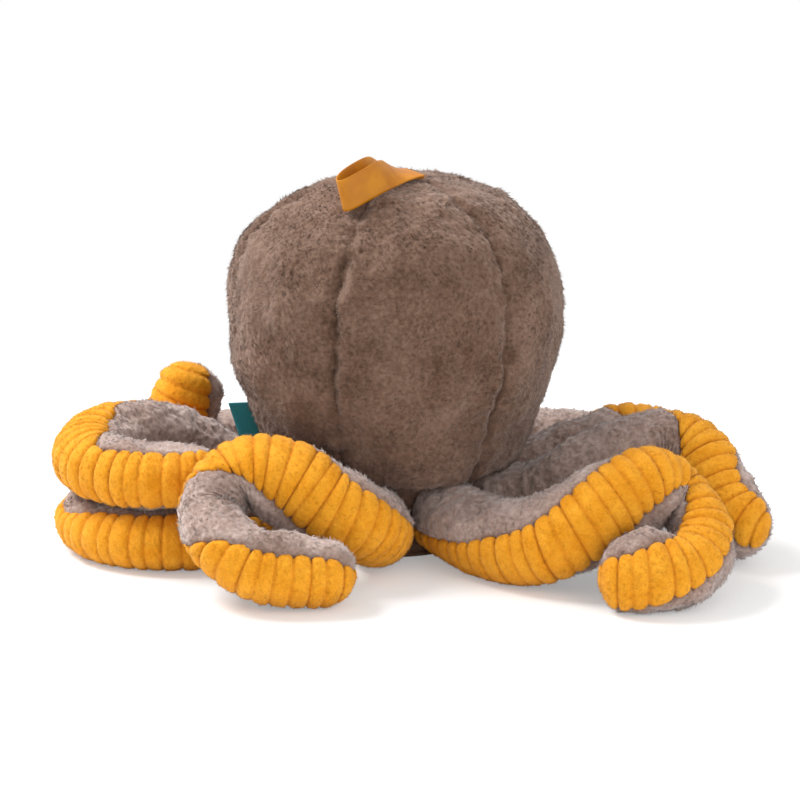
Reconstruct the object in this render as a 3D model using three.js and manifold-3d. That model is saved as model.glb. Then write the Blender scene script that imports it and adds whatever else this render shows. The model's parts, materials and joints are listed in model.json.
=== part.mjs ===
// Plush octopus: a stuffed head of six gores over a ring of eight two-tone arms.
// Millimetres, +Z up. The face looks along +Y, and the origin is the middle of the flat base.
import * as THREE from 'three';
import Module from 'manifold-3d';
import { mergeVertices } from 'three/addons/utils/BufferGeometryUtils.js';

const wasm = await Module();
wasm.setup();

// Cloth and seams
const plush_thickness = 3;
const corduroy_thickness = 3;
const seam_gap = 0.35;

// Head
const head_width = 199;
const head_height = 217;
const head_lean = 5;
const gore_count = 6;
const seam_pinch = 2.5;

// Arms
const arm_count = 8;
const arm_width = 48;
const root_width = 41;
const root_spacing = 4.9;
const root_clearance = 0.8;
const neck_clearance = 2.5;

// Base and ballast
const base_thickness = 3;
const base_width = 112;
const pellet_bag_width = 68;
const pellet_bag_height = 26;

// Safety eyes
const eye_width = 14;
const eye_dome = 5;
const eye_height = 112;
const eye_distance = 63;
const shank_width = 4;
const shank_length = 11;
const washer_width = 18;
const washer_thickness = 1.6;
const washer_clearance = 0.3;
const washer_seat = 2;

// Hanging loop and side label
const ribbon_width = 18;
const ribbon_thickness = 1.1;
const ribbon_length = 60;
const ribbon_opening = 9;
const label_height = 24;
const label_depth = 13;
const label_thickness = 1.4;
const label_bottom = 60;

// Sizes that follow from these
const head_radius = head_width / 2;
const root_radius = root_width / 2;
const root_ring_radius = (root_width + root_spacing) / (2 * Math.sin(Math.PI / arm_count));
const root_height = base_thickness + root_clearance + root_radius;
const neck_height = root_height + root_radius + neck_clearance;
const core_radius = root_ring_radius - root_radius * 0.4;
const lining_depth = Math.max(plush_thickness, corduroy_thickness) + seam_gap;

// Head outline: share of the height from neck to crown, share of the head's radius
const head_outline_shares = [
  [0, 0.7], [0.02, 0.745], [0.06, 0.79], [0.2, 0.875], [0.35, 0.965], [0.53, 1],
  [0.69, 0.965], [0.79, 0.885], [0.865, 0.765], [0.935, 0.58], [0.985, 0.325], [1, 0.04],
];
const gore_row_shares = [0, 0.02, 0.06, 0.16, 0.28, 0.42, 0.56, 0.69, 0.79, 0.87, 0.935, 0.98, 1];
const gore_column_shares = [0, 0.1, 0.28, 0.5, 0.72, 0.9, 1];
const stuffing_column_shares = [0, 0.28, 0.72];

// Arm section: the corduroy strip spans this angle to each side of its middle
const strip_half_angle = Math.PI / 3;
const root_rounding_shares = [0.05, 0.2, 0.5];
const tip_rounding_share = 0.33;
const rings_between = 14;

// Routes of the arms from the root outwards, in shares of the arm width: place x y z,
// direction that the corduroy faces, half size towards it, half size across it.
// The arms are numbered clockwise seen from above, from the one left of the back seam.
const route_shares = [
  {
    facing: [-0.2, -0.67, -0.7],
    points: [
      [-0.44, -1.6, 0.52, 0.1, -0.752, -0.652, 0.417, 0.417],
      [-0.731, -1.933, 0.755, -0.166, -0.958, -0.235, 0.442, 0.452],
      [-1.11, -1.962, 0.944, 0, -0.983, 0.181, 0.465, 0.485],
      [-1.493, -1.844, 1.223, -0.1, -0.718, 0.689, 0.465, 0.475],
      [-1.929, -1.768, 1.345, -0.225, -0.316, 0.922, 0.41, 0.42],
      [-2.243, -1.774, 1.255, -0.634, 0.137, 0.761, 0.36, 0.37],
      [-2.481, -1.986, 0.943, -0.805, 0.57, 0.166, 0.355, 0.355],
      [-2.378, -2.442, 0.732, -0.876, 0.294, -0.383, 0.345, 0.355],
      [-2.035, -2.7, 0.51, -0.395, -0.623, -0.675, 0.35, 0.37],
      [-1.65, -2.75, 0.44, -0.162, -0.939, -0.303, 0.36, 0.38],
      [-1.28, -2.75, 0.41, 0, -0.876, -0.483, 0.36, 0.38],
      [-0.92, -2.64, 0.39, 0, -0.25, -0.968, 0.34, 0.36],
    ],
  },
  {
    facing: [-0.5, -0.52, -0.7],
    points: [
      [-1.88, -0.81, 0.4, -0.44, -0.78, -0.4, 0.46, 0.38],
      [-2.54, -0.95, 0.35, -0.27, -0.95, -0.15, 0.46, 0.35],
      [-3.15, -0.84, 0.35, -0.37, -0.92, -0.1, 0.46, 0.35],
      [-3.59, -0.43, 0.35, -0.89, -0.45, -0.1, 0.46, 0.35],
      [-3.71, 0.21, 0.35, -0.95, 0.27, -0.1, 0.44, 0.35],
      [-3.26, 0.7, 0.35, -0.57, 0.81, -0.1, 0.42, 0.35],
      [-2.62, 0.74, 0.33, 0.07, 0.98, -0.1, 0.38, 0.33],
    ],
  },
  {
    facing: [-0.24, 0.35, -0.9],
    points: [
      [-1.69, 0.74, 0.5, 0.03, 0.76, -0.6, 0.42, 0.42],
      [-2.22, 0.88, 0.84, 0.06, 0.9, -0.3, 0.44, 0.41],
      [-2.91, 0.79, 1.17, -0.14, 0.94, 0, 0.46, 0.42],
      [-3.54, 0.41, 1.21, -0.82, 0.55, 0.1, 0.46, 0.42],
      [-3.71, -0.15, 1.13, -0.96, -0.24, 0.1, 0.46, 0.39],
      [-3.34, -0.68, 1.11, -0.46, -0.88, -0.1, 0.44, 0.38],
      [-2.79, -0.93, 1.1, -0.17, -0.98, -0.1, 0.42, 0.36],
      [-2.21, -0.92, 1.1, 0.03, -0.97, -0.1, 0.35, 0.34],
    ],
  },
  {
    facing: [-0.06, 0.21, -0.95],
    points: [
      [-0.71, 1.75, 0.5, -0.24, 0.35, -0.9, 0.48, 0.48],
      [-1.13, 2.28, 0.5, -0.26, 0.25, -0.9, 0.48, 0.48],
      [-1.7, 2.56, 0.5, -0.48, 0.19, -0.85, 0.46, 0.48],
      [-2.3, 2.4, 0.56, -0.87, -0.05, -0.4, 0.46, 0.46],
      [-2.5, 2.04, 0.92, -0.87, -0.5, 0, 0.44, 0.44],
      [-2.38, 1.86, 1.38, -0.75, -0.66, 0, 0.42, 0.42],
      [-2.21, 1.96, 1.79, -0.7, -0.66, 0.2, 0.38, 0.4],
    ],
  },
  {
    facing: [0.13, 0.18, -0.95],
    points: [
      [0.84, 1.63, 0.5, 0.25, 0.26, -0.9, 0.48, 0.48],
      [1.44, 1.95, 0.5, 0.25, 0.26, -0.9, 0.48, 0.48],
      [2.1, 2, 0.5, 0.25, 0.26, -0.9, 0.46, 0.48],
      [2.74, 1.8, 0.5, 0.35, 0.1, -0.9, 0.46, 0.46],
      [3.3, 1.62, 0.48, 0.3, -0.05, -0.9, 0.43, 0.45],
      [3.76, 1.86, 0.45, 0.3, -0.15, -0.9, 0.39, 0.41],
      [3.8, 2.32, 0.4, 0.35, 0, -0.9, 0.36, 0.37],
      [3.45, 2.62, 0.36, 0.2, 0.15, -0.95, 0.33, 0.35],
    ],
  },
  {
    facing: [0.2, 0.4, -0.88],
    points: [
      [1.85, 0.43, 0.53, 0.1, 0.752, -0.652, 0.44, 0.43],
      [2.49, 0.47, 0.7, -0.075, 0.988, 0.132, 0.46, 0.46],
      [3.1, 0.4, 0.94, 0.214, 0.518, 0.828, 0.432, 0.452],
      [3.63, 0.2, 0.87, 0.353, -0.353, 0.867, 0.42, 0.43],
      [3.93, -0.14, 0.64, 0.78, -0.512, 0.36, 0.38, 0.4],
      [3.88, -0.52, 0.44, 0.655, -0.756, 0, 0.34, 0.35],
      [3.53, -0.74, 0.35, 0.1, -0.949, -0.3, 0.33, 0.33],
    ],
  },
  {
    facing: [0.24, -0.1, -0.95],
    points: [
      [1.68, -0.76, 0.55, 0.092, 0.458, -0.884, 0.443, 0.433],
      [2.24, -0.97, 0.85, 0.273, 0.811, -0.518, 0.458, 0.468],
      [2.784, -0.981, 1.127, 0.13, 0.986, 0.109, 0.444, 0.454],
      [3.25, -1, 1.22, 0.268, 0.61, 0.746, 0.417, 0.437],
      [3.563, -1.217, 1.142, 0.197, -0.171, 0.965, 0.42, 0.43],
      [3.73, -1.6, 0.86, -0.252, -0.704, 0.664, 0.38, 0.41],
      [3.87, -1.98, 0.54, -0.3, -0.699, 0.649, 0.36, 0.39],
      [4.2, -2.28, 0.4, -0.496, -0.744, 0.447, 0.34, 0.36],
    ],
  },
  {
    facing: [0.14, -0.6, -0.78],
    points: [
      [0.79, -1.87, 0.48, -0.03, -0.622, -0.782, 0.46, 0.46],
      [1.14, -2.36, 0.52, -0.15, -0.88, -0.45, 0.48, 0.48],
      [1.54, -2.62, 0.67, -0.173, -0.985, 0, 0.49, 0.5],
      [1.97, -2.64, 0.92, -0.047, -0.958, 0.282, 0.48, 0.5],
      [2.36, -2.58, 1.13, -0.151, -0.784, 0.603, 0.418, 0.438],
      [2.7, -2.48, 1.2, 0.262, -0.234, 0.936, 0.381, 0.391],
      [2.98, -2.42, 1, 0.748, 0.319, 0.582, 0.35, 0.35],
      [3.143, -2.734, 0.836, 0.589, -0.482, 0.648, 0.319, 0.319],
      [3.13, -3.06, 0.63, 0.151, -0.515, 0.844, 0.34, 0.35],
      [2.93, -3.38, 0.46, 0.05, -0.799, 0.599, 0.37, 0.38],
      [2.58, -3.52, 0.41, -0.1, -0.902, 0.421, 0.38, 0.39],
      [2.18, -3.49, 0.4, -0.254, -0.946, 0.203, 0.38, 0.4],
      [1.83, -3.34, 0.39, -0.389, -0.921, 0, 0.35, 0.38],
    ],
  },
];

const toy = new THREE.Group();

const cloth = (color, roughness) => () => new THREE.MeshStandardMaterial({ color, roughness, metalness: 0 });
const taupePlush = cloth(0x6e5748, 0.95);
const yellowCorduroy = cloth(0xe6971f, 0.9);
const whiteFibre = cloth(0xe9e6df, 1);
const amberSatin = cloth(0xc5822a, 0.5);
const tealWeave = cloth(0x145c66, 0.7);
const greyCotton = cloth(0x9c9a94, 0.9);
const blackPlastic = cloth(0x0c0b0b, 0.15);
const clearPlastic = cloth(0xd8d4cc, 0.4);

function addPiece(name, geometry, material) {
  const mesh = new THREE.Mesh(geometry, material());
  mesh.name = name;
  toy.add(mesh);
}

// A closed mesh from points and faces, turned so that its faces point out
function closedGeometry(points, faces) {
  let volume = 0;
  for (const [a, b, c] of faces) {
    volume += points[a].dot(new THREE.Vector3().crossVectors(points[b], points[c]));
  }
  const outward = volume > 0 ? faces : faces.map(([a, b, c]) => [a, c, b]);
  const geometry = new THREE.BufferGeometry();
  const places = points.flatMap((p) => [p.x, p.y, p.z]);
  geometry.setAttribute('position', new THREE.Float32BufferAttribute(places, 3));
  geometry.setIndex(outward.flat());
  return geometry;
}

// A solid through rings of equal count; cap lists the triangles that close each end, and turned
// lists the sides whose diagonals run the other way, to match the sides of a neighbour
function loft(rings, cap, turned_sides = []) {
  const count = rings[0].length;
  const points = rings.flat();
  const faces = [];
  for (let ring = 0; ring + 1 < rings.length; ring += 1) {
    for (let k = 0; k < count; k += 1) {
      const a = ring * count + k;
      const b = ring * count + ((k + 1) % count);
      if (turned_sides.includes(k)) faces.push([a, b, a + count], [b, b + count, a + count]);
      else faces.push([a, b, b + count], [a, b + count, a + count]);
    }
  }
  const last = (rings.length - 1) * count;
  for (const [a, b, c] of cap) {
    faces.push([a, c, b], [a + last, b + last, c + last]);
  }
  return closedGeometry(points, faces);
}

function fanCap(count) {
  return Array.from({ length: count - 2 }, (_, k) => [0, k + 1, k + 2]);
}

// A cap for a strip whose ring runs along its outer side and back along its inner side
function stripCap(outer, inner) {
  const cap = [];
  let a = 0;
  let b = outer + inner - 1;
  while (a < outer - 1 || b > outer) {
    const outerShare = a / (outer - 1);
    const innerShare = (outer + inner - 1 - b) / (inner - 1);
    if (b === outer || (a < outer - 1 && outerShare <= innerShare)) {
      cap.push([a, a + 1, b]);
      a += 1;
    } else {
      cap.push([a, b - 1, b]);
      b -= 1;
    }
  }
  return cap;
}

// A sheet of cloth between an outer and an inner grid of points
function sheetGeometry(outer, inner) {
  const rows = outer.length;
  const columns = outer[0].length;
  const points = [...outer.flat(), ...inner.flat()];
  const offset = rows * columns;
  const faces = [];
  for (let row = 0; row + 1 < rows; row += 1) {
    for (let column = 0; column + 1 < columns; column += 1) {
      const a = row * columns + column;
      const b = a + columns;
      faces.push([a, a + 1, b + 1], [a, b + 1, b]);
      faces.push([a + offset, b + 1 + offset, a + 1 + offset], [a + offset, b + offset, b + 1 + offset]);
    }
  }
  const edge = [];
  for (let column = 0; column < columns; column += 1) edge.push(column);
  for (let row = 1; row < rows; row += 1) edge.push(row * columns + columns - 1);
  for (let column = columns - 2; column >= 0; column -= 1) edge.push((rows - 1) * columns + column);
  for (let row = rows - 2; row > 0; row -= 1) edge.push(row * columns);
  edge.forEach((a, k) => {
    const b = edge[(k + 1) % edge.length];
    faces.push([a, b + offset, b], [a, a + offset, b + offset]);
  });
  return closedGeometry(points, faces);
}

function toSolid(geometry) {
  const bare = new THREE.BufferGeometry();
  bare.setAttribute('position', geometry.getAttribute('position').clone());
  if (geometry.index) bare.setIndex(geometry.index.clone());
  const merged = mergeVertices(bare);
  return new wasm.Manifold(new wasm.Mesh({
    numProp: 3,
    vertProperties: new Float32Array(merged.getAttribute('position').array),
    triVerts: new Uint32Array(merged.index.array),
  }));
}

function toGeometry(solid) {
  const { vertProperties, triVerts } = solid.getMesh();
  const geometry = new THREE.BufferGeometry();
  geometry.setAttribute('position', new THREE.BufferAttribute(new Float32Array(vertProperties), 3));
  geometry.setIndex(new THREE.BufferAttribute(new Uint32Array(triVerts), 1));
  return geometry;
}

const cut = (geometry, ...tools) => toGeometry(
  tools.reduce((solid, tool) => solid.subtract(toSolid(tool)), toSolid(geometry)),
);

// A turned solid with its axis along +Z, from points that start and end on the axis
function turned(profile, segments) {
  return new THREE.LatheGeometry(profile.map(([r, z]) => new THREE.Vector2(r, z)), segments)
    .rotateX(Math.PI / 2);
}

// Turn about +Z, measured from -Y towards +X
const outwards = (turn) => new THREE.Vector3(Math.sin(turn), -Math.cos(turn), 0);
const degrees = (value) => (value * Math.PI) / 180;

// Head outline
const outlineCurve = new THREE.CatmullRomCurve3(
  head_outline_shares.map(([height, radius]) => new THREE.Vector3(radius, height, 0)),
  false,
  'centripetal',
);
const outline = outlineCurve.getPoints(head_outline_shares.length * 12);

function outlineRadius(share) {
  const next = outline.findIndex((p) => p.y >= share);
  if (next <= 0) return outline[0].x;
  const a = outline[next - 1];
  const b = outline[next];
  return a.x + ((b.x - a.x) * (share - a.y)) / (b.y - a.y);
}

// A point of the head at a turn and a height share, at a depth below the cloth's surface
function headPoint(turn, share, across, depth) {
  const rise = head_height - neck_height;
  const step = 0.004;
  const low = Math.max(share - step, 0);
  const high = Math.min(share + step, 1);
  const slope = ((outlineRadius(high) - outlineRadius(low)) * head_radius) / ((high - low) * rise);
  const normal = new THREE.Vector2(1, -slope).normalize();
  const pinch = seam_pinch * outlineRadius(share) * Math.abs(2 * across - 1) ** 4;
  const radius = head_radius * outlineRadius(share) - pinch - depth * normal.x;
  const place = outwards(turn).multiplyScalar(Math.max(radius, seam_gap));
  place.x += head_lean * share;
  place.z = neck_height + rise * share - depth * normal.y;
  return place;
}

// One gore between two seams, with half a seam's gap left free on each side
function goreGrid(first_turn, depth) {
  const span = (2 * Math.PI) / gore_count;
  return gore_row_shares.map((share) => gore_column_shares.map((across) => {
    const radius = Math.max(head_radius * outlineRadius(share) - depth, 2 * seam_gap);
    const inset = seam_gap / 2 / radius;
    const turn = first_turn + Math.min(Math.max(across * span, inset), span - inset);
    return headPoint(turn, share, across, depth);
  }));
}

const goreTurn = (index) => ((index - 0.5) * 2 * Math.PI) / gore_count;
const gore_names = [
  'back_gore', 'back_right_gore', 'front_right_gore', 'face_gore', 'front_left_gore', 'back_left_gore',
];

// The eyes sit side by side in the face gore
const eye_share = (eye_height - neck_height) / (head_height - neck_height);
const eye_half_turn = Math.asin(eye_distance / 2 / (head_radius * outlineRadius(eye_share)));
const eyes = [['left', Math.PI + eye_half_turn], ['right', Math.PI - eye_half_turn]].map(([side, turn]) => {
  const across = (turn - goreTurn(gore_count / 2)) / ((2 * Math.PI) / gore_count);
  const surface = headPoint(turn, eye_share, across, 0);
  const below = headPoint(turn, eye_share, across, plush_thickness);
  const axis = new THREE.Vector3().subVectors(surface, below).normalize();
  return { side, surface, axis };
});

function placeOnEye(geometry, eye, depth) {
  const turn = new THREE.Quaternion().setFromUnitVectors(new THREE.Vector3(0, 0, 1), eye.axis);
  const place = eye.surface.clone().addScaledVector(eye.axis, -depth);
  return geometry.applyQuaternion(turn).translate(place.x, place.y, place.z);
}

function shankHole(eye) {
  const width = shank_width / 2 + washer_clearance;
  const hole = new THREE.CylinderGeometry(width, width, 4 * plush_thickness, 12).rotateX(Math.PI / 2);
  return placeOnEye(hole, eye, plush_thickness);
}

// The washer's pocket reaches from inside the gore to past the end of the shank
function eyePocket(eye) {
  const width = washer_width / 2 + washer_clearance;
  const pocket = new THREE.CylinderGeometry(width, width, 2 * shank_length, 16).rotateX(Math.PI / 2);
  return placeOnEye(pocket, eye, washer_clearance);
}

function makeEye(eye) {
  const radius = eye_width / 2;
  const shank = shank_width / 2;
  const profile = [[0, -shank_length], [shank * 0.6, -shank_length], [shank, -shank_length * 0.9]];
  profile.push([shank, 0], [radius * 0.93, 0]);
  for (const share of [0.15, 0.4, 0.65, 0.85]) {
    const angle = (share * Math.PI) / 2;
    profile.push([radius * Math.cos(angle), eye_dome * Math.sin(angle)]);
  }
  profile.push([0, eye_dome]);
  return placeOnEye(turned(profile, 16), eye, -seam_gap);
}

function makeWasher(eye) {
  const inner = shank_width / 2 + washer_clearance / 2;
  const outer = washer_width / 2;
  const profile = [[inner, 0], [outer, 0], [outer, washer_thickness], [inner, washer_thickness], [inner, 0]];
  const depth = plush_thickness + washer_thickness + washer_seat;
  return placeOnEye(turned(profile, 16), eye, depth);
}

function makeHead() {
  gore_names.forEach((name, index) => {
    const turn = goreTurn(index);
    const gore = sheetGeometry(goreGrid(turn, 0), goreGrid(turn, plush_thickness));
    const eyed = name === 'face_gore' ? cut(gore, ...eyes.map(shankHole)) : gore;
    addPiece(name, eyed, taupePlush);
  });
  for (const eye of eyes) {
    addPiece(`${eye.side}_eye`, makeEye(eye), blackPlastic);
    addPiece(`${eye.side}_eye_washer`, makeWasher(eye), clearPlastic);
  }
}

const rootCentre = (index) => {
  const place = outwards(rootTurn(index)).multiplyScalar(root_ring_radius);
  place.z = root_height;
  return place;
};

function rootTurn(index) {
  return -((index + 0.5) * 2 * Math.PI) / arm_count;
}

// The stuffing fills the gores, narrows to a core between the arms and has a socket for each root
function makeStuffing() {
  const depth = plush_thickness + seam_gap;
  const span = (2 * Math.PI) / gore_count;
  const turns = [];
  for (let gore = 0; gore < gore_count; gore += 1) {
    for (const across of stuffing_column_shares) turns.push([goreTurn(gore) + across * span, across]);
  }
  const coreRing = (height) => turns.map(([turn]) => {
    const place = outwards(turn).multiplyScalar(core_radius);
    place.z = height;
    return place;
  });
  const rings = [coreRing(base_thickness + seam_gap), coreRing(neck_height)];
  for (const share of gore_row_shares) {
    rings.push(turns.map(([turn, across]) => headPoint(turn, share, across, depth)));
  }
  const sockets = Array.from({ length: arm_count }, (_, index) => {
    const place = rootCentre(index);
    return new THREE.SphereGeometry(root_radius + root_clearance, 16, 12)
      .rotateX(Math.PI / 2)
      .translate(place.x, place.y, place.z);
  });
  const recess_top = base_thickness + pellet_bag_height + 2 * seam_gap;
  const recess = new THREE.CylinderGeometry(
    pellet_bag_width / 2 + seam_gap,
    pellet_bag_width / 2 + seam_gap,
    2 * recess_top,
    24,
  ).rotateX(Math.PI / 2);
  const stuffing = cut(loft(rings, fanCap(turns.length)), ...sockets, recess, ...eyes.map(eyePocket));
  addPiece('head_stuffing', stuffing, whiteFibre);
}

function makeBase() {
  const radius = base_width / 2;
  const profile = [[0, 0], [radius * 0.97, 0], [radius, base_thickness * 0.5], [radius, base_thickness]];
  profile.push([0, base_thickness]);
  addPiece('base_panel', turned(profile, 32), taupePlush);

  const bag = pellet_bag_width / 2;
  const bottom = base_thickness + seam_gap;
  const bag_shares = [[0, 0], [0.86, 0], [0.97, 0.2], [1, 0.5], [0.97, 0.8], [0.86, 1], [0, 1]];
  const bag_profile = bag_shares.map(([r, z]) => [bag * r, bottom + pellet_bag_height * z]);
  addPiece('pellet_bag', turned(bag_profile, 20), greyCotton);
}

// Places along an arm: rounded root, free run, rounded tip
function armStations(curve) {
  const length = curve.getLength();
  const tip = tip_rounding_share * arm_width;
  const at = (distance) => curve.getUtoTmapping(0, distance);
  const rounding = (share) => Math.sqrt(1 - (1 - share) ** 2);
  const stations = root_rounding_shares.map((share) => [at(share * root_radius), rounding(share)]);
  const first = at(root_radius);
  const last = at(length - tip);
  for (let k = 0; k <= rings_between; k += 1) {
    stations.push([first + ((last - first) * k) / rings_between, 1]);
  }
  for (const share of [...root_rounding_shares].reverse()) {
    stations.push([at(length - share * tip), rounding(share)]);
  }
  return stations;
}

// Section frames along an arm, from its root pole in the socket to its tip
function armFrames(index) {
  const { facing, points } = route_shares[index];
  const centre = rootCentre(index);
  const first = new THREE.Vector3(...points[0].slice(0, 3)).multiplyScalar(arm_width);
  const pole = centre.clone().addScaledVector(first.sub(centre).normalize(), -root_radius);
  const places = [pole, centre];
  const facings = [new THREE.Vector3(...facing), new THREE.Vector3(...facing)];
  const sizes = [new THREE.Vector3(root_radius, root_radius, 0), new THREE.Vector3(root_radius, root_radius, 0)];
  for (const [x, y, z, dx, dy, dz, towards, across] of points) {
    places.push(new THREE.Vector3(x, y, z).multiplyScalar(arm_width));
    facings.push(new THREE.Vector3(dx, dy, dz));
    sizes.push(new THREE.Vector3(towards, across, 0).multiplyScalar(arm_width));
  }
  const smooth = (list) => new THREE.CatmullRomCurve3(list, false, 'catmullrom', 0.5);
  const route = smooth(places);
  const facingCurve = smooth(facings);
  const sizeCurve = smooth(sizes);
  return armStations(route).map(([t, rounding]) => {
    const tangent = route.getTangent(t);
    const towards = facingCurve.getPoint(t).projectOnPlane(tangent).normalize();
    return {
      place: route.getPoint(t),
      towards,
      across: new THREE.Vector3().crossVectors(tangent, towards),
      size: sizeCurve.getPoint(t).multiplyScalar(rounding),
    };
  });
}

// A point of an arm's section at an angle from the corduroy's middle; edge turns it off a seam
function sectionPoint(frame, angle, depth, edge) {
  const towards = Math.max(frame.size.x - depth, seam_gap);
  const across = Math.max(frame.size.y - depth, seam_gap);
  const turn = angle + (edge * seam_gap) / 2 / Math.min(towards, across);
  const place = frame.place.clone()
    .addScaledVector(frame.towards, towards * Math.cos(turn))
    .addScaledVector(frame.across, across * Math.sin(turn));
  place.z = Math.max(place.z, depth);
  return place;
}

function stripRing(frame, start, end, thickness, outer, inner) {
  const ring = [];
  for (let k = 0; k < outer; k += 1) {
    const edge = k === 0 ? 1 : k === outer - 1 ? -1 : 0;
    ring.push(sectionPoint(frame, start + ((end - start) * k) / (outer - 1), 0, edge));
  }
  for (let k = inner - 1; k >= 0; k -= 1) {
    const edge = k === 0 ? 1 : k === inner - 1 ? -1 : 0;
    ring.push(sectionPoint(frame, start + ((end - start) * k) / (inner - 1), thickness, edge));
  }
  return ring;
}

// Each arm is a plush strip and a corduroy strip, seamed along both sides round a core of fibre
function makeArm(index) {
  const frames = armFrames(index);
  const back_end = 2 * Math.PI - strip_half_angle;
  const back = frames.map((frame) => stripRing(frame, strip_half_angle, back_end, plush_thickness, 7, 5));
  const corduroy = frames.map((frame) => (
    stripRing(frame, -strip_half_angle, strip_half_angle, corduroy_thickness, 5, 3)
  ));
  const core_angles = [strip_half_angle, 0, -strip_half_angle];
  for (let k = 3; k > 0; k -= 1) {
    core_angles.push(strip_half_angle + ((back_end - strip_half_angle) * k) / 4);
  }
  const core = frames.slice(1, -1).map((frame) => (
    core_angles.map((angle) => sectionPoint(frame, angle, lining_depth, 0))
  ));
  const name = `arm_${index + 1}`;
  addPiece(`${name}_back`, loft(back, stripCap(7, 5)), taupePlush);
  addPiece(`${name}_corduroy`, loft(corduroy, stripCap(5, 3), [4, 7]), yellowCorduroy);
  addPiece(`${name}_stuffing`, loft(core, fanCap(core_angles.length)), whiteFibre);
}

// Height of the head's top above a point of the plan
function crownHeight(x, y) {
  let low = 0.53;
  let high = 1;
  for (let k = 0; k < 30; k += 1) {
    const share = (low + high) / 2;
    const reach = Math.hypot(x - head_lean * share, y);
    if (head_radius * outlineRadius(share) > reach) low = share;
    else high = share;
  }
  return neck_height + (head_height - neck_height) * low;
}

// The ribbon is sewn along the seam right of the back gore, runs off across it on the crown,
// and turns from flat at the seam to standing on its edge at the fold
function makeRibbon() {
  const seam = outwards(goreTurn(1));
  const sewn = seam.clone().multiplyScalar(ribbon_width * 1.3);
  sewn.x += head_lean;
  const run = new THREE.Vector3(seam.y, -seam.x, 0);
  const side = new THREE.Vector3(-run.y, run.x, 0);
  const loop_shares = [
    [0, 0.06], [0.12, 0.16], [0.35, 0.4], [0.6, 0.5], [0.85, 0.46], [0.97, 0.25],
    [1, 0], [0.97, -0.25], [0.85, -0.46], [0.6, -0.5], [0.35, -0.4], [0.12, -0.16], [0, -0.06],
  ];
  const path = new THREE.CatmullRomCurve3(loop_shares.map(([along, across]) => (
    new THREE.Vector3()
      .addScaledVector(run, along * ribbon_length)
      .addScaledVector(side, across * (ribbon_opening + ribbon_thickness))
  )), false, 'centripetal');
  const steps = 26;
  const rings = [];
  for (let k = 0; k <= steps; k += 1) {
    const t = k / steps;
    const place = path.getPoint(t);
    const tangent = path.getTangent(t);
    const along = Math.min(Math.max(place.dot(run) / ribbon_length / 0.4, 0), 1);
    const rise = along * along * (3 - 2 * along);
    const flat = seam.clone().multiplyScalar(-1).setZ(0.12).normalize();
    const upright = new THREE.Vector3(-0.22, 0.04, 1).normalize();
    const width = flat.lerp(upright, rise).normalize();
    const face = new THREE.Vector3().crossVectors(tangent, width).normalize();
    const bottom = place.clone().add(sewn);
    bottom.z = crownHeight(bottom.x, bottom.y) + seam_gap + ribbon_thickness * (1 - 0.4 * rise);
    const layer = (1 - rise) * ribbon_thickness * Math.sign(0.5 - t) * 0.7;
    bottom.z += layer;
    const top = bottom.clone().addScaledVector(width, ribbon_width);
    top.z = Math.max(top.z, crownHeight(top.x, top.y) + 1.6 * ribbon_thickness + layer);
    const half = face.multiplyScalar(ribbon_thickness / 2);
    rings.push([
      bottom.clone().sub(half), bottom.clone().add(half), top.clone().add(half), top.clone().sub(half),
    ]);
  }
  addPiece('hanging_loop', loft(rings, fanCap(4)), amberSatin);
}

// A folded woven label stands out of the seam on the -X side
function makeLabel() {
  const outer = [];
  const inner = [];
  for (const across of [0, 1 / 3, 2 / 3, 1]) {
    const height = label_bottom + across * label_height;
    const share = (height - neck_height) / (head_height - neck_height);
    const edge = headPoint(goreTurn(gore_count - 1), share, 0, 0).x - seam_gap;
    const row = [0, 0.5, 1].map((out) => new THREE.Vector3(edge - out * label_depth, 0, height));
    outer.push(row.map((p) => p.clone().setY(-label_thickness / 2)));
    inner.push(row.map((p) => p.clone().setY(label_thickness / 2)));
  }
  addPiece('side_label', sheetGeometry(outer, inner), tealWeave);
}

makeHead();
makeStuffing();
makeBase();
for (let index = 0; index < arm_count; index += 1) makeArm(index);
makeRibbon();
makeLabel();

export default toy;
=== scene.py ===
"""Plush octopus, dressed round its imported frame. Metres, +Z up, face along +Y, origin under the flat base."""
import json
import math

import bpy
import numpy as np
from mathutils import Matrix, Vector


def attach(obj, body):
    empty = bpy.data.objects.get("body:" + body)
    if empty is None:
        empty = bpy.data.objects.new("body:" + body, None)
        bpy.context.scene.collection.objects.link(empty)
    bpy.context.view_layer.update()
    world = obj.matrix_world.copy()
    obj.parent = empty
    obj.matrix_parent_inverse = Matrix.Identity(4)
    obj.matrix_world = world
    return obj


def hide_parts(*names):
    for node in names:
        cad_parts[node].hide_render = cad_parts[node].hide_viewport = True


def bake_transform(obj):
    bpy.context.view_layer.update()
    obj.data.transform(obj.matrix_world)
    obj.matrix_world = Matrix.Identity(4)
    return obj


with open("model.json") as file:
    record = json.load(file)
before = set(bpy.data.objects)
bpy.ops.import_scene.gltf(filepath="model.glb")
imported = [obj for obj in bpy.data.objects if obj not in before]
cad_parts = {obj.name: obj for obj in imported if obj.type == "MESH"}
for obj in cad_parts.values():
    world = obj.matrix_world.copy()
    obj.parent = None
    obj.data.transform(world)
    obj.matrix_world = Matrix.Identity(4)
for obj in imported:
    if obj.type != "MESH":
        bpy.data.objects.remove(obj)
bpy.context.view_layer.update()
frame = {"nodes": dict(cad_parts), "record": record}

MM = 0.001

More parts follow.
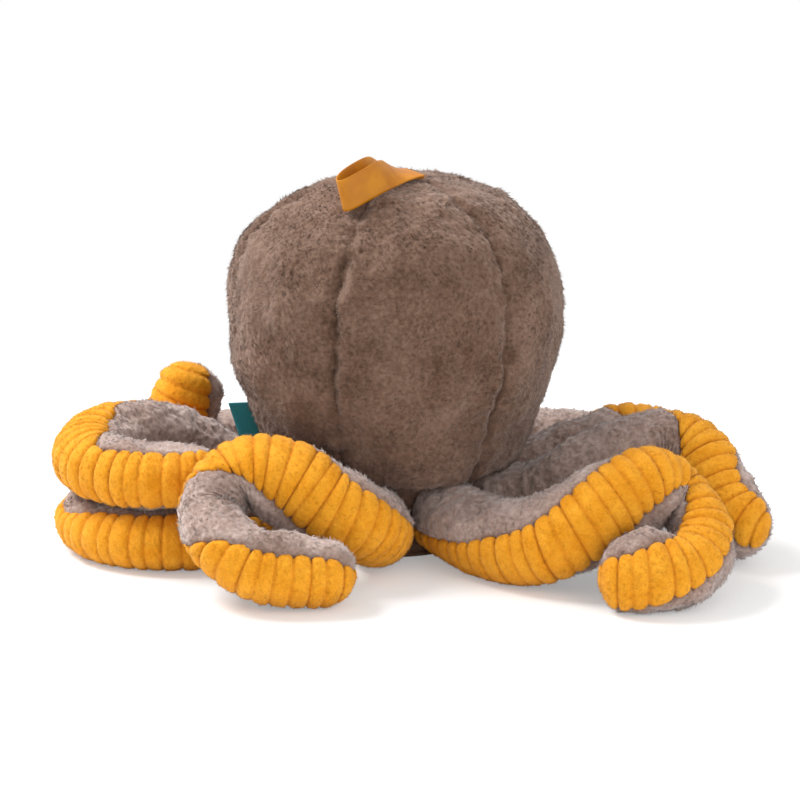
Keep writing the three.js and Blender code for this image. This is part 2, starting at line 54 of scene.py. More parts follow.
# Sizes that the solids share, in millimetres
SEAM_GAP = 0.35
HEAD_WIDTH = 199
HEAD_HEIGHT = 217
HEAD_LEAN = 5
GORES = 6
SEAM_PINCH = 2.5
ARMS = 8
ARM_WIDTH = 48
ROOT_RADIUS = 20.5
ROOT_HEIGHT = 24.3
RING_RADIUS = 59.97
NECK_HEIGHT = 47.3
BASE_RADIUS = 56
TIP_SHARE = 0.33
EYE_WIDTH = 14
EYE_DOME = 5
EYE_HEIGHT = 112
EYE_DISTANCE = 63
RIBBON_WIDTH = 18
RIBBON_THICKNESS = 1.1
RIBBON_LENGTH = 60
RIBBON_OPENING = 9
LABEL_HEIGHT = 24
LABEL_DEPTH = 13
LABEL_BOTTOM = 60
LABEL_SEAM = 3

HEAD_RISE = HEAD_HEIGHT - NECK_HEIGHT
HEAD_RADIUS = HEAD_WIDTH / 2
FLOOR_GAP = 0.2

# Head outline: share of the height from neck to crown, share of the head's radius
HEAD_OUTLINE = [
    (0, 0.7), (0.02, 0.745), (0.06, 0.79), (0.2, 0.875), (0.35, 0.965), (0.53, 1),
    (0.69, 0.965), (0.79, 0.885), (0.865, 0.765), (0.935, 0.58), (0.985, 0.325), (1, 0.04),
]

# Routes of the arms from the root outwards: the way the corduroy faces at the root, then in
# shares of the arm width the place, the way the corduroy faces, half size towards it and across it
ROUTES = [
    ((-0.2, -0.67, -0.7), [
        (-0.44, -1.6, 0.52, 0.1, -0.752, -0.652, 0.417, 0.417),
        (-0.731, -1.933, 0.755, -0.166, -0.958, -0.235, 0.442, 0.452),
        (-1.11, -1.962, 0.944, 0, -0.983, 0.181, 0.465, 0.485),
        (-1.493, -1.844, 1.223, -0.1, -0.718, 0.689, 0.465, 0.475),
        (-1.929, -1.768, 1.345, -0.225, -0.316, 0.922, 0.41, 0.42),
        (-2.243, -1.774, 1.255, -0.634, 0.137, 0.761, 0.36, 0.37),
        (-2.481, -1.986, 0.943, -0.805, 0.57, 0.166, 0.355, 0.355),
        (-2.378, -2.442, 0.732, -0.876, 0.294, -0.383, 0.345, 0.355),
        (-2.035, -2.7, 0.51, -0.395, -0.623, -0.675, 0.35, 0.37),
        (-1.65, -2.75, 0.44, -0.162, -0.939, -0.303, 0.36, 0.38),
        (-1.28, -2.75, 0.41, 0, -0.876, -0.483, 0.36, 0.38),
        (-0.92, -2.64, 0.39, 0, -0.25, -0.968, 0.34, 0.36),
    ]),
    ((-0.5, -0.52, -0.7), [
        (-1.88, -0.81, 0.4, -0.44, -0.78, -0.4, 0.46, 0.38),
        (-2.54, -0.95, 0.35, -0.27, -0.95, -0.15, 0.46, 0.35),
        (-3.15, -0.84, 0.35, -0.37, -0.92, -0.1, 0.46, 0.35),
        (-3.59, -0.43, 0.35, -0.89, -0.45, -0.1, 0.46, 0.35),
        (-3.71, 0.21, 0.35, -0.95, 0.27, -0.1, 0.44, 0.35),
        (-3.26, 0.7, 0.35, -0.57, 0.81, -0.1, 0.42, 0.35),
        (-2.62, 0.74, 0.33, 0.07, 0.98, -0.1, 0.38, 0.33),
    ]),
    ((-0.24, 0.35, -0.9), [
        (-1.69, 0.74, 0.5, 0.03, 0.76, -0.6, 0.42, 0.42),
        (-2.22, 0.88, 0.84, 0.06, 0.9, -0.3, 0.44, 0.41),
        (-2.91, 0.79, 1.17, -0.14, 0.94, 0, 0.46, 0.42),
        (-3.54, 0.41, 1.21, -0.82, 0.55, 0.1, 0.46, 0.42),
        (-3.71, -0.15, 1.13, -0.96, -0.24, 0.1, 0.46, 0.39),
        (-3.34, -0.68, 1.11, -0.46, -0.88, -0.1, 0.44, 0.38),
        (-2.79, -0.93, 1.1, -0.17, -0.98, -0.1, 0.42, 0.36),
        (-2.21, -0.92, 1.1, 0.03, -0.97, -0.1, 0.35, 0.34),
    ]),
    ((-0.06, 0.21, -0.95), [
        (-0.71, 1.75, 0.5, -0.24, 0.35, -0.9, 0.48, 0.48),
        (-1.13, 2.28, 0.5, -0.26, 0.25, -0.9, 0.48, 0.48),
        (-1.7, 2.56, 0.5, -0.48, 0.19, -0.85, 0.46, 0.48),
        (-2.3, 2.4, 0.56, -0.87, -0.05, -0.4, 0.46, 0.46),
        (-2.5, 2.04, 0.92, -0.87, -0.5, 0, 0.44, 0.44),
        (-2.38, 1.86, 1.38, -0.75, -0.66, 0, 0.42, 0.42),
        (-2.21, 1.96, 1.79, -0.7, -0.66, 0.2, 0.38, 0.4),
    ]),
    ((0.13, 0.18, -0.95), [
        (0.84, 1.63, 0.5, 0.25, 0.26, -0.9, 0.48, 0.48),
        (1.44, 1.95, 0.5, 0.25, 0.26, -0.9, 0.48, 0.48),
        (2.1, 2, 0.5, 0.25, 0.26, -0.9, 0.46, 0.48),
        (2.74, 1.8, 0.5, 0.35, 0.1, -0.9, 0.46, 0.46),
        (3.3, 1.62, 0.48, 0.3, -0.05, -0.9, 0.43, 0.45),
        (3.76, 1.86, 0.45, 0.3, -0.15, -0.9, 0.39, 0.41),
        (3.8, 2.32, 0.4, 0.35, 0, -0.9, 0.36, 0.37),
        (3.45, 2.62, 0.36, 0.2, 0.15, -0.95, 0.33, 0.35),
    ]),
    ((0.2, 0.4, -0.88), [
        (1.85, 0.43, 0.53, 0.1, 0.752, -0.652, 0.44, 0.43),
        (2.49, 0.47, 0.7, -0.075, 0.988, 0.132, 0.46, 0.46),
        (3.1, 0.4, 0.94, 0.214, 0.518, 0.828, 0.432, 0.452),
        (3.63, 0.2, 0.87, 0.353, -0.353, 0.867, 0.42, 0.43),
        (3.93, -0.14, 0.64, 0.78, -0.512, 0.36, 0.38, 0.4),
        (3.88, -0.52, 0.44, 0.655, -0.756, 0, 0.34, 0.35),
        (3.53, -0.74, 0.35, 0.1, -0.949, -0.3, 0.33, 0.33),
    ]),
    ((0.24, -0.1, -0.95), [
        (1.68, -0.76, 0.55, 0.092, 0.458, -0.884, 0.443, 0.433),
        (2.24, -0.97, 0.85, 0.273, 0.811, -0.518, 0.458, 0.468),
        (2.784, -0.981, 1.127, 0.13, 0.986, 0.109, 0.444, 0.454),
        (3.25, -1, 1.22, 0.268, 0.61, 0.746, 0.417, 0.437),
        (3.563, -1.217, 1.142, 0.197, -0.171, 0.965, 0.42, 0.43),
        (3.73, -1.6, 0.86, -0.252, -0.704, 0.664, 0.38, 0.41),
        (3.87, -1.98, 0.54, -0.3, -0.699, 0.649, 0.36, 0.39),
        (4.2, -2.28, 0.4, -0.496, -0.744, 0.447, 0.34, 0.36),
    ]),
    ((0.14, -0.6, -0.78), [
        (0.79, -1.87, 0.48, -0.03, -0.622, -0.782, 0.46, 0.46),
        (1.14, -2.36, 0.52, -0.15, -0.88, -0.45, 0.48, 0.48),
        (1.54, -2.62, 0.67, -0.173, -0.985, 0, 0.49, 0.5),
        (1.97, -2.64, 0.92, -0.047, -0.958, 0.282, 0.48, 0.5),
        (2.36, -2.58, 1.13, -0.151, -0.784, 0.603, 0.418, 0.438),
        (2.7, -2.48, 1.2, 0.262, -0.234, 0.936, 0.381, 0.391),
        (2.98, -2.42, 1, 0.748, 0.319, 0.582, 0.35, 0.35),
        (3.143, -2.734, 0.836, 0.589, -0.482, 0.648, 0.319, 0.319),
        (3.13, -3.06, 0.63, 0.151, -0.515, 0.844, 0.34, 0.35),
        (2.93, -3.38, 0.46, 0.05, -0.799, 0.599, 0.37, 0.38),
        (2.58, -3.52, 0.41, -0.1, -0.902, 0.421, 0.38, 0.39),
        (2.18, -3.49, 0.4, -0.254, -0.946, 0.203, 0.38, 0.4),
        (1.83, -3.34, 0.39, -0.389, -0.921, 0, 0.35, 0.38),
    ]),
]

# Where the corduroy's two seams leave their plain 60 degrees to either side of its middle, by arm:
# share of the arm's length, degrees to the first seam, degrees to the second
PLAIN_SEAMS = [(0, 60, 60)]
SEAM_SHIFTS = {
    0: [
        (0.1, 60, 60), (0.15, 60, 75), (0.2, 60, 75), (0.25, 58, 72), (0.3, 46, 58), (0.35, 54, 60),
        (0.4, 63, 60), (0.45, 74, 60), (0.5, 68, 60), (0.55, 56, 60), (0.58, 20, 60), (0.61, -8, 60),
        (0.68, -8, 60), (0.71, 50, 60), (0.745, 104, 60), (0.8, 90, 60), (0.85, 65, 60), (0.9, 58, 60),
        (0.95, 70, 60),
    ],
    1: [
        (0.3, 60, 60), (0.4, 60, 78), (0.45, 60, 70), (0.5, 60, 66), (0.58, 60, 60), (0.63, 60, 42),
        (0.68, 60, 28), (0.76, 60, 35), (0.85, 60, 60),
    ],
    2: [
        (0.5, 60, 60), (0.56, 104, 60), (0.68, 106, 60), (0.71, 84, 60), (0.745, 50, 60), (0.8, 63, 53),
        (0.85, 68, 48), (0.9, 68, 42), (0.95, 78, 36), (1, 70, 40),
    ],
    3: [(0.7, 60, 60), (0.8, 60, 84), (0.9, 60, 82), (0.95, 60, 70), (1, 60, 60)],
    5: [
        (0.25, 60, 60), (0.4, 60, 15), (0.53, 60, 20), (0.55, 60, 60), (0.6, 60, 62), (0.63, 60, 10),
        (0.9, 60, 10), (1, 60, 60),
    ],
    6: [
        (0.4, 60, 60), (0.5, 60, 20), (0.6, 60, 20), (0.64, 60, 56), (0.66, 60, 60), (0.74, 60, 60),
        (0.8, 37, 45), (0.85, 32, 16), (0.9, 50, 18), (0.95, 60, 45), (1, 60, 60),
    ],
    7: [
        (0.25, 60, 60), (0.3, 51, 60), (0.35, 45, 60), (0.4, 50, 50), (0.45, 52, 57), (0.5, 50, 53),
        (0.55, 60, 68), (0.6, 60, 60), (0.75, 52, 60), (0.8, 35, 60), (0.85, 35, 60), (0.9, 52, 60),
        (0.95, 58, 36), (1, 60, 45),
    ],
}

# Places where an arm's plush bulges out between two runs of its curl, by arm:
# share of the arm's length, degrees round the section, height in millimetres
PUFFS = {
    0: [(0.35, -100, 3.5), (0.45, -105, 3.5), (0.84, -105, 4), (0.76, -125, 3)],
    7: [(0.48, 115, 5), (0.56, 110, 5), (0.88, 105, 4.5), (0.93, 95, 4)],
}
PUFF_LENGTH = 0.05
PUFF_DEGREES = 38

# Long pile and the corduroy's nap: a tuft's length and radius in millimetres and its slant, and how many
# tufts stand on a square millimetre
PILE_SIZE = (3.0, 0.38, 1.7)
PILE_DENSITY = 0.34
NAP_SIZE = (1.7, 0.26, 0.5)
NAP_DENSITY = 0.45

# How tufts differ: depth of the foot in the cloth, spread of directions, shortest and longest share of the
# length, swirls as a turn in radians and a pitch, and changes of slant
TUFT_SINK = 0.5
TUFT_SCATTER = 0.3
TUFT_LENGTHS = (0.55, 1.25)
TUFT_SHADE_LEAN = 0.5
SWIRL_TURN, SWIRL_PITCH = 0.9, 45
LEAN_CHANGE, LEAN_PITCH = 0.25, 18
THIRDS = (0, 2 * math.pi / 3, 4 * math.pi / 3)

GORE_NAMES = [
    "back_gore", "back_right_gore", "front_right_gore", "face_gore", "front_left_gore", "back_left_gore",
]

# Head cloth, in millimetres: grid, height over the solid, lumps as (height, distance apart, seed), grooves
# at the seams where the thread pulls, painted shade and stitches in them, puckers beside them, and both ends of
# a gore
GORE_ROWS, GORE_COLUMNS = 190, 84
GORE_STAND = 1.1
GORE_LUMPS = [(1.1, 70, 13), (0.5, 28, 14), (0.2, 10, 15), (0.16, 4.2, 16)]
SEAM_SPREAD = 3.0
TENSION_SPREAD = 0.8
TENSION_PULL = 0.35
TENSION_PITCH, TENSION_SEED = 15, 11
PUCKER_DEPTH = 2.2
PUCKER_REACH = 11
PUCKER_HEIGHT, PUCKER_PITCH, PUCKER_SEED = 0.6, 15, 12
PUCKER_STRETCH = [1, 1, 1.7]
STITCH_WIDTH = 1.5
STITCH_SHADE, STITCH_CHANGE, STITCH_LEAST = 0.55, 0.4, 0.1
STITCH_PITCH, STITCH_SEED = 9, 17
GROOVE_SHADE = 0.22
GORE_LEAST = -1.6
CROWN_FADE = 0.05
CROWN_CLOSE = 0.05
NECK_TUCK, NECK_LIFT = 0.8, 0.4
GORE_PILE_SEED = 300

# Arm route and its sections, in millimetres
RING_STEP = 0.8
ROUTE_STEPS = 3001
ROUTE_SOFTNESS = 5
SECTION_SOFTNESS = 4
FULL_HALF_SIZE = 6
LEAST_HALF_SIZE = 0.3
LEAST_RADIUS = 2

# Corduroy, in millimetres: wales, their lumps as (height, distance apart, seed), their form and the painted
# shade in their furrows, at the seams and on the nap. Wander is in shares of the pitch, and roundness is a pair
# of powers
RIB_PITCH = 10.6
RIB_HEIGHT = 2.1
RIB_END = 2.6
RIB_WANDER = (0.12, 30, 20)
RIB_CHANGE = (0.12, 11, 30)
RIB_LUMPS = (0.12, 3.2, 40)
RIB_ROUNDNESS = (3.4, 0.6)
SCALLOP_IN = 0.6
EDGE_ROUNDNESS = (9, 0.5)
FURROW_SHADE, FURROW_SHARPNESS = 0.75, 9
EDGE_SHADE, EDGE_SHARPNESS = 0.4, 24
WALE_COLUMNS = 45
NAP_SHADE = 0.7
SEAM_DEPTH = 1.7

# Arm plush, in millimetres: height over the solid, groove at the seams with its painted shade, lumps and
# wrinkles.
# The overlap with the corduroy is in radians
ARM_STAND = 0.9
ARM_GROOVE = SEAM_DEPTH + 1.2
ARM_GROOVE_SHADE = 0.6
ARM_LUMPS = [(0.55, 22, 50), (0.3, 8, 60), (0.2, 4, 70)]
ARM_COLUMNS = 84
STRIP_OVERLAP = 0.03
WRINKLE_PITCH = 8.5
WRINKLE_HEIGHT = 1.1
WRINKLE_WANDER = (0.18, 26, 80)
WRINKLE_GAIN, WRINKLE_FROM = 1.3, 0.3
ARM_PILE_SEED, NAP_SEED = 400, 500


def unit(v):
    return v / np.linalg.norm(v, axis=-1, keepdims=True)


def material(name):
    """A node material and its shader, with the node tree ready for more nodes."""
    made = bpy.data.materials.new(name)
    made.use_nodes = True
    return made, made.node_tree, made.node_tree.nodes["Principled BSDF"]


def srgb(r, g, b):
    """A colour given in 8-bit display values, as linear values."""
    def linear(v):
        v /= 255
        return v / 12.92 if v <= 0.04045 else ((v + 0.055) / 1.055) ** 2.4
    return (linear(r), linear(g), linear(b), 1)


def grey(v):
    return (v, v, v, 1)


def set_inputs(node, values):
    for socket, value in values.items():
        node.inputs[socket].default_value = value


def link_inputs(tree, sockets, values):
    """Each value goes into its socket: a link if it is a socket itself, or else a plain value."""
    for socket, value in zip(sockets, values):
        if isinstance(value, bpy.types.NodeSocket):
            tree.links.new(value, socket)
        else:
            socket.default_value = value


def noise(tree, place, scale, detail=3.0, roughness=0.55):
    node = tree.nodes.new("ShaderNodeTexNoise")
    set_inputs(node, {"Scale": scale, "Detail": detail, "Roughness": roughness})
    tree.links.new(place, node.inputs["Vector"])
    return node.outputs["Fac"]


def ramp(tree, value, stops):
    node = tree.nodes.new("ShaderNodeValToRGB")
    elements = node.color_ramp.elements
    while len(elements) < len(stops):
        elements.new(0.5)
    for element, (at, color) in zip(elements, stops):
        element.position = at
        element.color = color
    tree.links.new(value, node.inputs["Fac"])
    return node.outputs["Color"]


def mix(tree, factor, a, b, blend="MIX"):
    node = tree.nodes.new("ShaderNodeMix")
    node.data_type = "RGBA"
    node.blend_type = blend
    link_inputs(tree, (node.inputs["Factor"], node.inputs[6], node.inputs[7]), (factor, a, b))
    return node.outputs[2]


def speckle(tree, color, value, low, high):
    """A colour times low where the value is 0.3 or less, and times high where it is 0.7 or more."""
    return mix(tree, 1.0, color, ramp(tree, value, [(0.3, low), (0.7, high)]), "MULTIPLY")


def math_node(tree, operation, *values):
    node = tree.nodes.new("ShaderNodeMath")
    node.operation = operation
    link_inputs(tree, node.inputs, values)
    return node.outputs[0]


def bump(tree, shader, *layers):
    """Bump a shader by one layer over another: height, depth in metres, strength."""
    normal = None
    for height, depth, strength in layers:
        node = tree.nodes.new("ShaderNodeBump")
        set_inputs(node, {"Distance": depth, "Strength": strength})
        tree.links.new(height, node.inputs["Height"])
        if normal:
            tree.links.new(normal, node.inputs["Normal"])
        normal = node.outputs["Normal"]
    tree.links.new(normal, shader.inputs["Normal"])


def object_place(tree, stretch=(1, 1, 1)):
    place = tree.nodes.new("ShaderNodeTexCoord").outputs["Object"]
    mapping = tree.nodes.new("ShaderNodeMapping")
    mapping.inputs["Scale"].default_value = stretch
    tree.links.new(place, mapping.inputs["Vector"])
    return mapping.outputs["Vector"]


def attribute(tree, name):
    node = tree.nodes.new("ShaderNodeAttribute")
    node.attribute_name = name
    return node.outputs["Fac"]


# Noises in the cloths, as scale, detail and roughness, one of them the satin's painted sheen; stretches of two
# of them;
# tints that darken cloth, for fibre flecks and for gaps in the pile together with painted shade
BLOTCHES, CLUMPS, STRANDS = (34, 2), (420, 3, 0.6), (1300, 3, 0.7)
THIN_PATCHES, HOLES = (44, 2), (380, 2)
SOFT_PATCHES, SOFT_CLUMPS, VELVET = (90, 3), (420, 2), (900, 3, 0.7)
WARP_LINES, SATIN_SHEEN = (700, 2), (60, 2)
PLASTIC_GRAIN = (500, 2)
UPRIGHT_STRANDS = (0.7, 0.7, 1.5)
LONG_LINES = (1, 1, 6)
GAP_DEPTH = 0.75
GAP_AND_SHADE_TINT = (0.4, 0.33, 0.28, 1)
PLUSH_SHADE, CORDUROY_SHADE = (0.86, 0.85, 0.84, 1), (0.86, 0.82, 0.76, 1)


def plush(name, dark, middle, light, sheen, tint):
    """Short pile: blotches where the pile is brushed two ways, small clumps, gaps in the pile, fibre, and
    painted shade in the seam grooves.
    """
    made, tree, shader = material(name)
    place = object_place(tree)
    blotch = noise(tree, place, *BLOTCHES)
    clump = noise(tree, place, *CLUMPS)
    fibre = noise(tree, object_place(tree, UPRIGHT_STRANDS), *STRANDS)
    tone = math_node(tree, "MULTIPLY_ADD", clump, 0.5, math_node(tree, "MULTIPLY", blotch, 0.5))
    color = ramp(tree, tone, [(0.36, dark), (0.5, middle), (0.66, light)])
    color = speckle(tree, color, fibre, PLUSH_SHADE, grey(1.1))
    thin = ramp(tree, noise(tree, place, *THIN_PATCHES), [(0.5, grey(0)), (0.7, grey(1))])
    hole = ramp(tree, noise(tree, place, *HOLES), [(0.56, grey(0)), (0.68, grey(1))])
    gap_and_shade = math_node(tree, "MULTIPLY", math_node(tree, "MULTIPLY", thin, hole), GAP_DEPTH)
    # The valley attribute adds the dark seam lines and the painted shade in the seam grooves, in the same tint
    # as the gaps
    gap_and_shade = math_node(tree, "MAXIMUM", gap_and_shade, attribute(tree, "valley"))
    color = mix(tree, gap_and_shade, color, mix(tree, 1.0, color, GAP_AND_SHADE_TINT, "MULTIPLY"))
    tree.links.new(color, shader.inputs["Base Color"])
    bump(tree, shader, (clump, 0.0009, 0.45), (fibre, 0.0004, 0.6))
    set_inputs(shader, {
        "Roughness": 0.95, "Specular IOR Level": 0.15,
        "Sheen Weight": sheen, "Sheen Roughness": 0.45, "Sheen Tint": tint,
    })
    return made


def corduroy(name, painted_shade, base, light):
    """Plush corduroy: soft pile on the wales, and painted shade in the furrows between them and at the seams.
    """
    made, tree, shader = material(name)
    place = object_place(tree)
    soft = noise(tree, place, *SOFT_PATCHES)
    pile = noise(tree, place, *VELVET)
    color = ramp(tree, soft, [(0.3, base), (0.7, light)])
    color = speckle(tree, color, pile, CORDUROY_SHADE, grey(1.1))
    # Painted shade in the furrows and at the seam edges, from the valley attribute
    color = mix(tree, attribute(tree, "valley"), color, painted_shade)
    tree.links.new(color, shader.inputs["Base Color"])
    bump(tree, shader, (noise(tree, place, *SOFT_CLUMPS), 0.0007, 0.6), (pile, 0.0004, 0.8))
    set_inputs(shader, {
        "Roughness": 0.9, "Specular IOR Level": 0.15,
        "Sheen Weight": 0.2, "Sheen Roughness": 0.5, "Sheen Tint": srgb(255, 225, 160),
    })
    return made


def satin(name, base, light):
    """Satin ribbon: fine warp lines, soft patches of painted sheen, and a soft gloss."""
    made, tree, shader = material(name)
    place = object_place(tree)
    warp = noise(tree, object_place(tree, LONG_LINES), *WARP_LINES)
    soft = noise(tree, place, *SATIN_SHEEN)
    # Painted sheen: soft patches run from the base colour to the lighter one
    color = ramp(tree, soft, [(0.35, base), (0.65, light)])
    color = mix(tree, 0.25, color, speckle(tree, color, warp, grey(0.7), grey(1.2)))
    tree.links.new(color, shader.inputs["Base Color"])
    bump(tree, shader, (warp, 0.0001, 0.5))
    set_inputs(shader, {"Roughness": 0.5, "Specular IOR Level": 0.3, "Anisotropic": 0.4})
    return made


def weave(name, base, light):
    """Plain woven cloth with crossing threads."""
    made, tree, shader = material(name)
    threads = []
    for direction in ("X", "Z"):
        node = tree.nodes.new("ShaderNodeTexWave")
        node.bands_direction = direction
        set_inputs(node, {"Scale": 900, "Distortion": 0.6})
        tree.links.new(object_place(tree), node.inputs["Vector"])
        threads.append(node.outputs["Fac"])
    height = math_node(tree, "MAXIMUM", *threads)
    color = ramp(tree, height, [(0.2, base), (0.9, light)])
    tree.links.new(color, shader.inputs["Base Color"])
    bump(tree, shader, (height, 0.0002, 0.7))
    set_inputs(shader, {"Roughness": 0.8})
    return made


def moulded(name, base, roughness):
    """Moulded plastic with a faint unevenness in its colour and its gloss."""
    made, tree, shader = material(name)
    grain = noise(tree, object_place(tree), *PLASTIC_GRAIN)
    tone = mix(tree, 0.12, base, speckle(tree, base, grain, grey(0.8), grey(1.2)))
    tree.links.new(tone, shader.inputs["Base Color"])
    gloss = tree.nodes.new("ShaderNodeMapRange")
    set_inputs(gloss, {"To Min": roughness * 0.85, "To Max": roughness * 1.15})
    tree.links.new(grain, gloss.inputs["Value"])
    tree.links.new(gloss.outputs["Result"], shader.inputs["Roughness"])
    return made


TAUPE = plush(
    "taupe_plush", srgb(82, 59, 46), srgb(103, 79, 65), srgb(122, 98, 84), 0.5, srgb(225, 205, 195),
)
# The arms' copy of the taupe plush: the same cloth as the head, painted lighter to stand in for the light that
# falls on the arms
TAUPE_PAINTED_LIGHT = plush(
    "taupe_plush_painted_light",
    srgb(128, 105, 94), srgb(153, 131, 121), srgb(178, 159, 151), 0.75, srgb(238, 230, 230),
)
# Its first colour is the painted shade of the furrows and the seam edges
YELLOW = corduroy("yellow_corduroy", srgb(186, 103, 8), srgb(207, 135, 20), srgb(220, 153, 40))
AMBER = satin("amber_satin", srgb(165, 98, 3), srgb(186, 119, 8))
TEAL = weave("teal_weave", srgb(20, 110, 122), srgb(52, 150, 160))
COTTON = weave("grey_cotton", srgb(140, 138, 132), srgb(176, 174, 168))
FIBRE = plush(
    "white_fibre", srgb(205, 202, 195), srgb(228, 226, 220), srgb(244, 243, 240), 0.2, srgb(255, 255, 255),
)
BLACK = moulded("black_plastic", srgb(14, 12, 12), 0.12)
CLEAR = moulded("clear_plastic", srgb(216, 212, 204), 0.35)


def spectral(points, wavelength, seed, waves=48):
    """Smooth random lumps about wavelength apart, of unit size: a seeded sum of plane waves."""
    random = np.random.default_rng(seed)
    directions = unit(random.normal(size=(waves, 3)))
    lengths = wavelength * random.uniform(0.7, 1.4, waves)
    phases = random.uniform(0, 2 * math.pi, waves)
    total = np.zeros(points.shape[:-1])
    for direction, length, phase in zip(directions, lengths, phases):
        total += np.cos(points @ direction * (2 * math.pi / length) + phase)
    return total * math.sqrt(2 / waves)


def lumps(points, height, pitch, seed, index=0):
    """Lumps of a height, a pitch in millimetres apart; each index has its own seed."""
    return height * spectral(points, pitch, seed + index)


def finish_piece(name, mesh, made, valley):
    """An object for a mesh, with its material and, where valley is given, its furrows' shade."""
    if valley is not None:
        layer = mesh.attributes.new("valley", "FLOAT", "POINT")
        layer.data.foreach_set("value", np.clip(valley, 0, 1).reshape(-1).astype(np.float32))
    piece = bpy.data.objects.new(name, mesh)
    bpy.context.scene.collection.objects.link(piece)
    mesh.materials.append(made)
    return piece


def grid_piece(name, points, made, valley=None, closed=False, caps=False):
    """A mesh from a grid of points in millimetres; closed joins the last column to the first."""
    rows, columns = points.shape[:2]
    index = np.arange(rows * columns).reshape(rows, columns)
    right = np.roll(index, -1, axis=1) if closed else index[:, 1:]
    left = index if closed else index[:, :-1]
    faces = np.stack([left[:-1], right[:-1], right[1:], left[1:]], axis=-1).reshape(-1, 4).tolist()
    if caps:
        faces += [index[0, ::-1].tolist(), index[-1].tolist()]
    mesh = bpy.data.meshes.new(name)
    mesh.from_pydata((points.reshape(-1, 3) * MM).tolist(), [], faces)
    mesh.validate()
    mesh.polygons.foreach_set("use_smooth", [True] * len(mesh.polygons))
    return finish_piece(name, mesh, made, valley)


def pile_piece(name, points, made, valley, per_area, seed, size):
    """Short tapered tufts over a grid of points in millimetres, brushed along its columns with swirls."""
    long, thick, slant = size
    random = np.random.default_rng(seed)
    down, over = points[1:, :-1] - points[:-1, :-1], points[:-1, 1:] - points[:-1, :-1]
    facing = np.cross(over, down)
    area = np.linalg.norm(facing, axis=-1)
    chance = area.reshape(-1) / area.sum()
    total = int(area.sum() * per_area)
    cell = random.choice(len(chance), total, p=chance)
    row, column = np.unravel_index(cell, area.shape)
    a, b = random.uniform(size=(2, total, 1))
    root = points[row, column] + a * down[row, column] + b * over[row, column]
    normal = unit(facing[row, column])
    along = unit(down[row, column])
    turn = lumps(root, SWIRL_TURN, SWIRL_PITCH, seed, 1)[:, None]
    brushed = along * np.cos(turn) + np.cross(normal, along) * np.sin(turn)
    lean = slant + lumps(root, LEAN_CHANGE, LEAN_PITCH, seed, 2)[:, None]
    way = unit(normal + brushed * lean + random.normal(scale=TUFT_SCATTER, size=(total, 3)))
    length = long * random.uniform(*TUFT_LENGTHS, (total, 1))
    side = unit(np.cross(way, random.normal(size=(total, 3))))
    other = np.cross(way, side)
    root = root - normal * TUFT_SINK
    corners = [root + thick * (side * math.cos(t) + other * math.sin(t)) for t in THIRDS]
    tufts = np.stack(corners + [root + way * length], axis=1)
    tufts[..., 2] = np.maximum(tufts[..., 2], FLOOR_GAP)

    # Each tuft is a closed spike of four triangles
    faces = np.array([[0, 1, 3], [1, 2, 3], [2, 0, 3], [2, 1, 0]])
    corner = (np.arange(total)[:, None, None] * 4 + faces[None]).reshape(-1)
    mesh = bpy.data.meshes.new(name)
    mesh.vertices.add(total * 4)
    mesh.vertices.foreach_set("co", (tufts * MM).astype(np.float32).reshape(-1))
    mesh.loops.add(len(corner))
    mesh.loops.foreach_set("vertex_index", corner.astype(np.int32))
    mesh.polygons.add(len(corner) // 3)
    mesh.polygons.foreach_set("loop_start", np.arange(0, len(corner), 3, dtype=np.int32))
    mesh.polygons.foreach_set("loop_total", np.full(len(corner) // 3, 3, np.int32))
    mesh.update(calc_edges=True)
    mesh.validate()
    mesh.polygons.foreach_set("use_smooth", [True] * len(mesh.polygons))

    # Tufts shade much as the cloth under them does, so that the pile looks soft
    shading = np.repeat(unit(normal + TUFT_SHADE_LEAN * way), 4, axis=0)
    mesh.normals_split_custom_set_from_vertices(shading.tolist())
    return finish_piece(name, mesh, made, np.repeat(valley[row, column][:, None], 4, axis=1))


def lathe_piece(name, profile, segments, made, origin=(0, 0, 0), axis=(0, 0, 1)):
    """A turned shape from (radius, height) points in millimetres, placed along an axis."""
    turn = np.linspace(0, 2 * math.pi, segments, endpoint=False)
    profile = np.array(profile, float)
    ring = np.stack([np.cos(turn), np.sin(turn), np.zeros(segments)], axis=-1)
    points = profile[:, :1, None] * ring[None] + profile[:, 1, None, None] * np.array([0, 0, 1.0])
    spin = np.array(Vector((0, 0, 1)).rotation_difference(Vector(axis)).to_matrix())
    return grid_piece(name, points @ spin.T + np.array(origin), made, closed=True)


def outwards(turn):
    """Unit direction at a turn about +Z, measured from -Y towards +X."""
    turn = np.asarray(turn, float)
    return np.stack([np.sin(turn), -np.cos(turn), np.zeros_like(turn)], axis=-1)


def run_lengths(steps):
    """Length run at each point of a line, from the steps between its points."""
    return np.concatenate([[0], np.cumsum(np.linalg.norm(steps, axis=1))])


def carried_on(points):
    """Points of a line with one more at each end, carried on straight."""
    p = np.array(points, float)
    return np.vstack([2 * p[0] - p[1], p, 2 * p[-1] - p[-2]])


